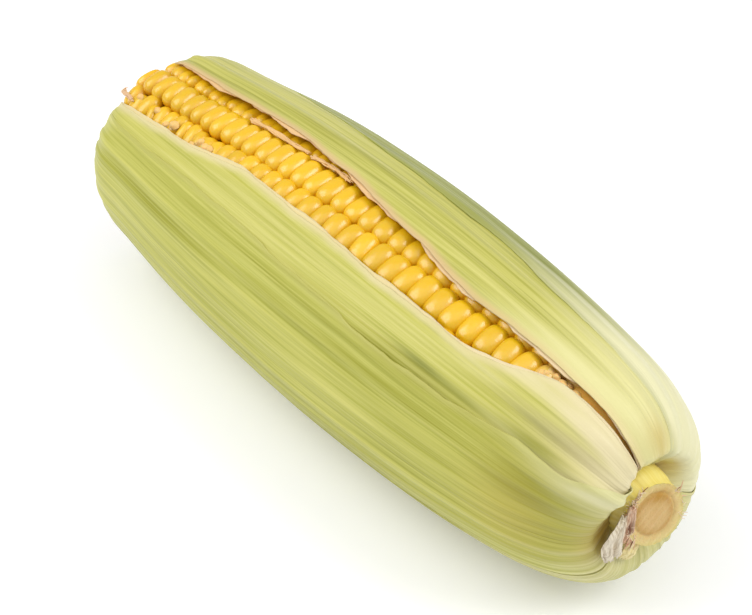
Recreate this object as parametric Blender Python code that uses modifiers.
"""Fresh ear of sweetcorn in its husk, trimmed at both ends and lying on its side.

The ear lies along X with its cut stalk at +X and its trimmed tip at -X. A strip of husk is
peeled away on top, so the kernels show. Lengths are in metres, +Z is up, and the lowest
point of the husk is at Z = 0. An angle around the ear is in degrees from straight up (+Z)
towards the front (-Y): 90 is the front, 180 the underside and -90 the back.
"""
import math

import bmesh
import bpy
import numpy as np
from mathutils import Vector

MM = 0.001

# ---- Driving dimensions -------------------------------------------------------------------

HUSK_LEVELS = 4               # husk leaves lie at four depths, 0 against the kernels
LEAF_THICKNESS = 0.45 * MM
SETTLE = 0.9 * MM             # how far the soft underside flattens where the ear rests

# Outline of the husk, from the tip to the stalk, as (distance along X, radius) in mm:
# the outside of the outermost leaf, and the same stations on the inside of the husk.
HUSK_OUTSIDE = (
    (-86.0, 19.2), (-83.0, 21.8), (-80.0, 23.9), (-75.0, 25.8), (-66.0, 26.9), (-50.0, 28.7),
    (-34.0, 29.9), (-17.0, 30.4), (0.0, 30.5), (17.0, 29.9), (34.0, 28.8), (50.0, 27.2),
    (63.0, 25.2), (72.0, 22.2), (78.0, 18.5), (81.0, 14.5), (80.6, 11.2), (78.6, 8.6),
)
HUSK_INSIDE = (
    (-86.0, 16.4), (-83.0, 19.0), (-80.0, 21.1), (-75.0, 22.9), (-66.0, 23.8), (-50.0, 25.4),
    (-34.0, 26.5), (-17.0, 27.0), (0.0, 27.1), (17.0, 26.5), (34.0, 25.4), (49.5, 23.8),
    (61.8, 22.0), (69.7, 19.6), (74.9, 16.4), (77.4, 13.6), (77.0, 11.2), (75.4, 8.6),
)
LEVEL_STEP = (HUSK_OUTSIDE[8][1] - HUSK_INSIDE[8][1]) / HUSK_LEVELS * MM
AXIS_HEIGHT = HUSK_OUTSIDE[8][1] * MM - SETTLE

# The knife cut across the tip, through the husk and the cob: a plane that leans a little.
TIP_CUT_POINT = (-80.6 * MM, 0.0, AXIS_HEIGHT)
TIP_CUT_NORMAL = (1.0, -0.137, -0.073)

KERNEL_ROWS = 20
KERNELS_IN_ROW = 38
KERNEL_HEIGHT = 1.0 * MM      # crown above the furrow between two rows
KERNEL_WAIST = 0.5 * MM       # crown above the joint between two kernels of a row
FIRST_FURROW = 13.0           # angle of one furrow at the middle of the ear
ROW_TWIST = -0.13 / MM        # how the rows wind around the ear, in degrees a metre
EAR_CLEARANCE = 0.15 * MM

# Where the kernels' crowns lie, as (distance along X, radius) in mm.
EAR_OUTLINE = (
    (-86.0, 16.2), (-83.0, 18.9), (-80.0, 21.0), (-75.0, 22.8), (-66.0, 23.7), (-50.0, 25.3),
    (-34.0, 26.4), (-17.0, 26.9), (0.0, 27.0), (17.0, 26.4), (34.0, 25.3), (49.5, 23.7),
    (61.5, 21.5), (67.0, 19.0), (70.5, 14.5), (71.5, 9.0),
)

# Stalk, as (distance along X, radius) in mm, and the knife cut across it.
STALK_OUTLINE = ((71.9, 7.4), (75.0, 7.9), (78.5, 7.6), (81.0, 7.0), (86.0, 6.5))
STALK_RISE = 1.2 * MM         # the stalk bends up this much by its cut end
STALK_CUT_POINT = (82.2 * MM, 0.0, AXIS_HEIGHT + STALK_RISE)
STALK_CUT_NORMAL = (0.961, -0.164, 0.222)
STALK_SIDES = 20

# The free edges of the leaves, as (distance along X in mm, angle in degrees).
FRONT_RIM = ((-83, 38), (-64, 35), (-50, 32), (-39, 28), (-26, 26), (14, 27), (35, 27), (43, 25),
             (50, 20.5), (56, 14.5), (62, 11), (73, 11.5), (81, 14.5))
BACK_RIM = ((-78, -3), (-42, -4), (-30, -5.5), (-21, -3), (-8, -1), (3, 2), (16, 5), (27, 8),
            (37, 8.4), (52, 7), (62, 6.6), (73, 8), (81, 10.5))
FRONT_OUTER_EDGE = ((-83, 48), (-58, 48), (-40, 46), (-22, 47), (0, 49), (19, 51), (40, 51),
                    (60, 50), (72, 45), (78, 41), (81, 35))
BACK_OUTER_EDGE = ((-78, -60), (-57, -45), (-40, -37), (-26, -33), (0, -29), (24, -29),
                   (37, -26), (60, -24), (78, -26))
UNDER_FRONT_EDGE = ((-83, 128), (-40, 126), (0, 124), (28, 123), (52, 124), (81, 126))
UNDER_BACK_EDGE = ((-83, 250), (-40, 256), (0, 262), (52, 260), (81, 255))

# Each leaf: name, level, first edge, second edge, in degrees or as one of the edges above,
# and how far the first edge is set back from the edge it follows.
LEAVES = (
    ("husk_leaf_front_inner", 0, FRONT_RIM, 166, 0.0),
    ("husk_leaf_back_inner", 0, BACK_RIM, -166, 0.0),
    ("husk_leaf_front_second", 1, FRONT_RIM, 186, 2.5),
    ("husk_leaf_back_second", 1, BACK_RIM, -156, -2.5),
    ("husk_leaf_front_outer", 2, FRONT_OUTER_EDGE, 204, 0.0),
    ("husk_leaf_back_outer", 2, BACK_OUTER_EDGE, -144, 0.0),
    ("husk_leaf_under", 3, UNDER_FRONT_EDGE, UNDER_BACK_EDGE, 0.0),
)
LEAF_FACET = 12.0             # degrees around the ear that one facet of a leaf spans

# Scraps of dried sheath on the stalk: name, size in mm, centre in mm from the axis, tilt.
SCRAPS = (
    ("sheath_stub", (1.2, 3.4, 10.0), (82.2, -10.2, 0.4), -16.0),
    ("sheath_flap", (0.8, 4.0, 3.6), (82.4, -6.8, -6.6), -40.0),
)
SCRAP_EDGE = 0.25 * MM

# Silk: name, strand radius in mm, and points as (distance along X, radius, angle) in mm and
# degrees. The first two lie in the furrow beside the back rim, the last one at the tip.
SILK = (
    ("silk_strand_1", 0.22, ((-45, 25.2, 1.6), (-38, 25.7, 0.4), (-31, 26.1, -0.2), (-26, 26.4, -1.0))),
    ("silk_strand_2", 0.22, ((-24, 26.5, -0.8), (-18, 26.8, -1.6), (-12, 27.0, -1.4))),
    ("silk_tip", 0.35, ((-77, 23.6, 32.5), (-79, 24.2, 33.5), (-81, 23.6, 33.0), (-82.5, 22.6, 31.0))),
)


def make_material(name, colour, roughness):
    """A plain Principled material, its colour given as linear red, green and blue."""
    material = bpy.data.materials.new(name)
    material.use_nodes = True
    shader = material.node_tree.nodes["Principled BSDF"]
    shader.inputs["Base Color"].default_value = (*colour, 1.0)
    shader.inputs["Roughness"].default_value = roughness
    shader.inputs["Metallic"].default_value = 0.0
    return material


def add_object(name, bm, collection, material):
    """Put a finished bmesh into the collection as an object with one material."""
    bmesh.ops.recalc_face_normals(bm, faces=bm.faces)
    mesh = bpy.data.meshes.new(name)
    bm.to_mesh(mesh)
    bm.free()
    mesh.materials.append(material)
    obj = bpy.data.objects.new(name, mesh)
    collection.objects.link(obj)
    return obj


def around(along, radius, angle, floor=None):
    """The point at an angle around the ear, no lower than floor."""
    turn = math.radians(angle)
    height = AXIS_HEIGHT + radius * math.cos(turn)
    if floor is not None:
        height = max(height, floor)
    return Vector((along, -radius * math.sin(turn), height))


def edge_angle(edge, along):
    """The angle of a leaf's edge at a distance along X."""
    if isinstance(edge, (int, float)):
        return edge
    places = [place * MM for place, angle in edge]
    return float(np.interp(along, places, [angle for place, angle in edge]))


def rest_height(level):
    """The lowest point of a husk level: each one lies on the next one out."""
    return (HUSK_LEVELS - 1 - level) * LEVEL_STEP


def husk_ring(station, level):
    """Distance along X and radius of the outside of a husk level at a station."""
    share = (level + 1) / HUSK_LEVELS
    inside = np.array(HUSK_INSIDE[station])
    outside = np.array(HUSK_OUTSIDE[station])
    along, radius = (inside + share * (outside - inside)) * MM
    return float(along), float(radius)


def cut_away(bm, point, normal):
    """Cut a mesh with a plane and drop the side that the normal points to."""
    everything = bm.verts[:] + bm.edges[:] + bm.faces[:]
    bmesh.ops.bisect_plane(bm, geom=everything, plane_co=point, plane_no=normal, clear_outer=True)


def close_ends(bm):
    """Fill every open end of a tube with one flat face."""
    rim = [edge for edge in bm.edges if edge.is_boundary]
    bmesh.ops.holes_fill(bm, edges=rim, sides=0)


def sheet(columns, rows, place):
    """A grid of columns by rows faces, each vertex moved to place(across, along).

    Both arguments of place run from 0 to 1.
    """
    bm = bmesh.new()
    bmesh.ops.create_grid(bm, x_segments=columns, y_segments=rows, size=0.5)
    for vert in bm.verts:
        vert.co = place(vert.co.x + 0.5, vert.co.y + 0.5)
    return bm


def tube(columns, rows, place):
    """A sheet that closes on itself across, with its two ends filled."""
    bm = sheet(columns, rows, place)
    bmesh.ops.remove_doubles(bm, verts=bm.verts, dist=0.01 * MM)
    return bm


def build_leaf(collection, material, name, level, first, second, set_back):
    """One husk leaf: a sheet wrapped part of the way around the ear, given its thickness."""
    stations = len(HUSK_OUTSIDE)

    def place(across, along):
        distance, radius = husk_ring(round(along * (stations - 1)), level)
        start = edge_angle(first, distance) + set_back
        end = edge_angle(second, distance)
        angle = start + across * (end - start)
        return around(distance, radius, angle, rest_height(level))

    widest = edge_angle(second, 0.0) - edge_angle(first, 0.0)
    columns = math.ceil(abs(widest) / LEAF_FACET)
    bm = sheet(columns, stations - 1, place)
    cut_away(bm, TIP_CUT_POINT, -Vector(TIP_CUT_NORMAL))
    leaf = add_object(name, bm, collection, material)
    if leaf.data.polygons[0].normal.dot(leaf.data.polygons[0].center - Vector(TIP_CUT_POINT)) < 0:
        leaf.data.flip_normals()
    solidify = leaf.modifiers.new("thickness", "SOLIDIFY")
    solidify.thickness = LEAF_THICKNESS
    solidify.offset = -1.0
    solidify.use_rim = True
    return leaf


def build_ear(collection, material):
    """The cob with its kernels: rows that wind slowly around it, cut across at the tip."""
    outline = np.array(EAR_OUTLINE) * MM
    columns = 2 * KERNEL_ROWS
    body_start, body_end = outline[0, 0], outline[-3, 0]
    joints = 2 * KERNELS_IN_ROW
    end_rings = 2
    lowest = HUSK_LEVELS * LEVEL_STEP

    def place(across, along):
        ring = round(along * (joints + end_rings))
        column = round(across * columns) % columns
        if ring <= joints:
            distance = body_start + (body_end - body_start) * (ring / joints)
        else:
            distance = outline[ring - joints - end_rings - 1, 0]
        crown = float(np.interp(distance, outline[:, 0], outline[:, 1])) - EAR_CLEARANCE
        if column % 2 == 0:
            crown -= KERNEL_HEIGHT
        elif ring % 2 == 0:
            crown -= KERNEL_WAIST
        angle = FIRST_FURROW + ROW_TWIST * distance + 360.0 * column / columns
        return around(distance, crown, angle, lowest)

    bm = tube(columns, joints + end_rings, place)
    cut_away(bm, TIP_CUT_POINT, -Vector(TIP_CUT_NORMAL))
    close_ends(bm)
    return add_object("ear", bm, collection, material)


def build_stalk(collection, material):
    """The stub of the stalk, bent up slightly and cut across with a slant."""
    outline = np.array(STALK_OUTLINE) * MM
    last = len(outline) - 1

    def place(across, along):
        distance, radius = outline[round(along * last)]
        rise = STALK_RISE * (distance - outline[0, 0]) / (STALK_CUT_POINT[0] - outline[0, 0])
        return around(distance, radius, 360.0 * across) + Vector((0.0, 0.0, rise))

    bm = tube(STALK_SIDES, last, place)
    cut_away(bm, STALK_CUT_POINT, STALK_CUT_NORMAL)
    close_ends(bm)
    return add_object("stalk", bm, collection, material)


def build_scrap(collection, material, name, size, centre, tilt):
    """A flat scrap of dried sheath standing against the butt beside the stalk."""
    bm = bmesh.new()
    bmesh.ops.create_cube(bm, size=1.0)
    bmesh.ops.scale(bm, vec=Vector(size) * MM, verts=bm.verts)
    scrap = add_object(name, bm, collection, material)
    scrap.location = Vector(centre) * MM + Vector((0.0, 0.0, AXIS_HEIGHT))
    scrap.rotation_euler = (math.radians(tilt), 0.0, 0.0)
    bevel = scrap.modifiers.new("worn_edges", "BEVEL")
    bevel.width = SCRAP_EDGE
    bevel.segments = 2
    return scrap


def build_silk(collection, material, name, radius, points):
    """One strand of silk: a curve with a round section and closed ends."""
    curve = bpy.data.curves.new(name, "CURVE")
    curve.dimensions = "3D"
    curve.bevel_depth = radius * MM
    curve.bevel_resolution = 1
    curve.use_fill_caps = True
    spline = curve.splines.new("POLY")
    spline.points.add(len(points) - 1)
    for point, (along, reach, angle) in zip(spline.points, points):
        point.co = (*around(along * MM, reach * MM, angle), 1.0)
    curve.materials.append(material)
    strand = bpy.data.objects.new(name, curve)
    collection.objects.link(strand)
    return strand


def main():
    for obj in list(bpy.data.objects):
        bpy.data.objects.remove(obj)
    collection = bpy.data.collections.new("corn_ear")
    bpy.context.scene.collection.children.link(collection)

    kernel = make_material("kernel", (0.90, 0.52, 0.03), 0.30)
    husk = make_material("husk", (0.58, 0.58, 0.20), 0.45)
    stalk = make_material("stalk", (0.78, 0.64, 0.25), 0.50)
    dried = make_material("dried_sheath", (0.78, 0.70, 0.52), 0.70)
    silk = make_material("silk", (0.75, 0.42, 0.22), 0.55)

    build_ear(collection, kernel)
    build_stalk(collection, stalk)
    for leaf in LEAVES:
        build_leaf(collection, husk, *leaf)
    for scrap in SCRAPS:
        build_scrap(collection, dried, *scrap)
    for strand in SILK:
        build_silk(collection, silk, *strand)


main()
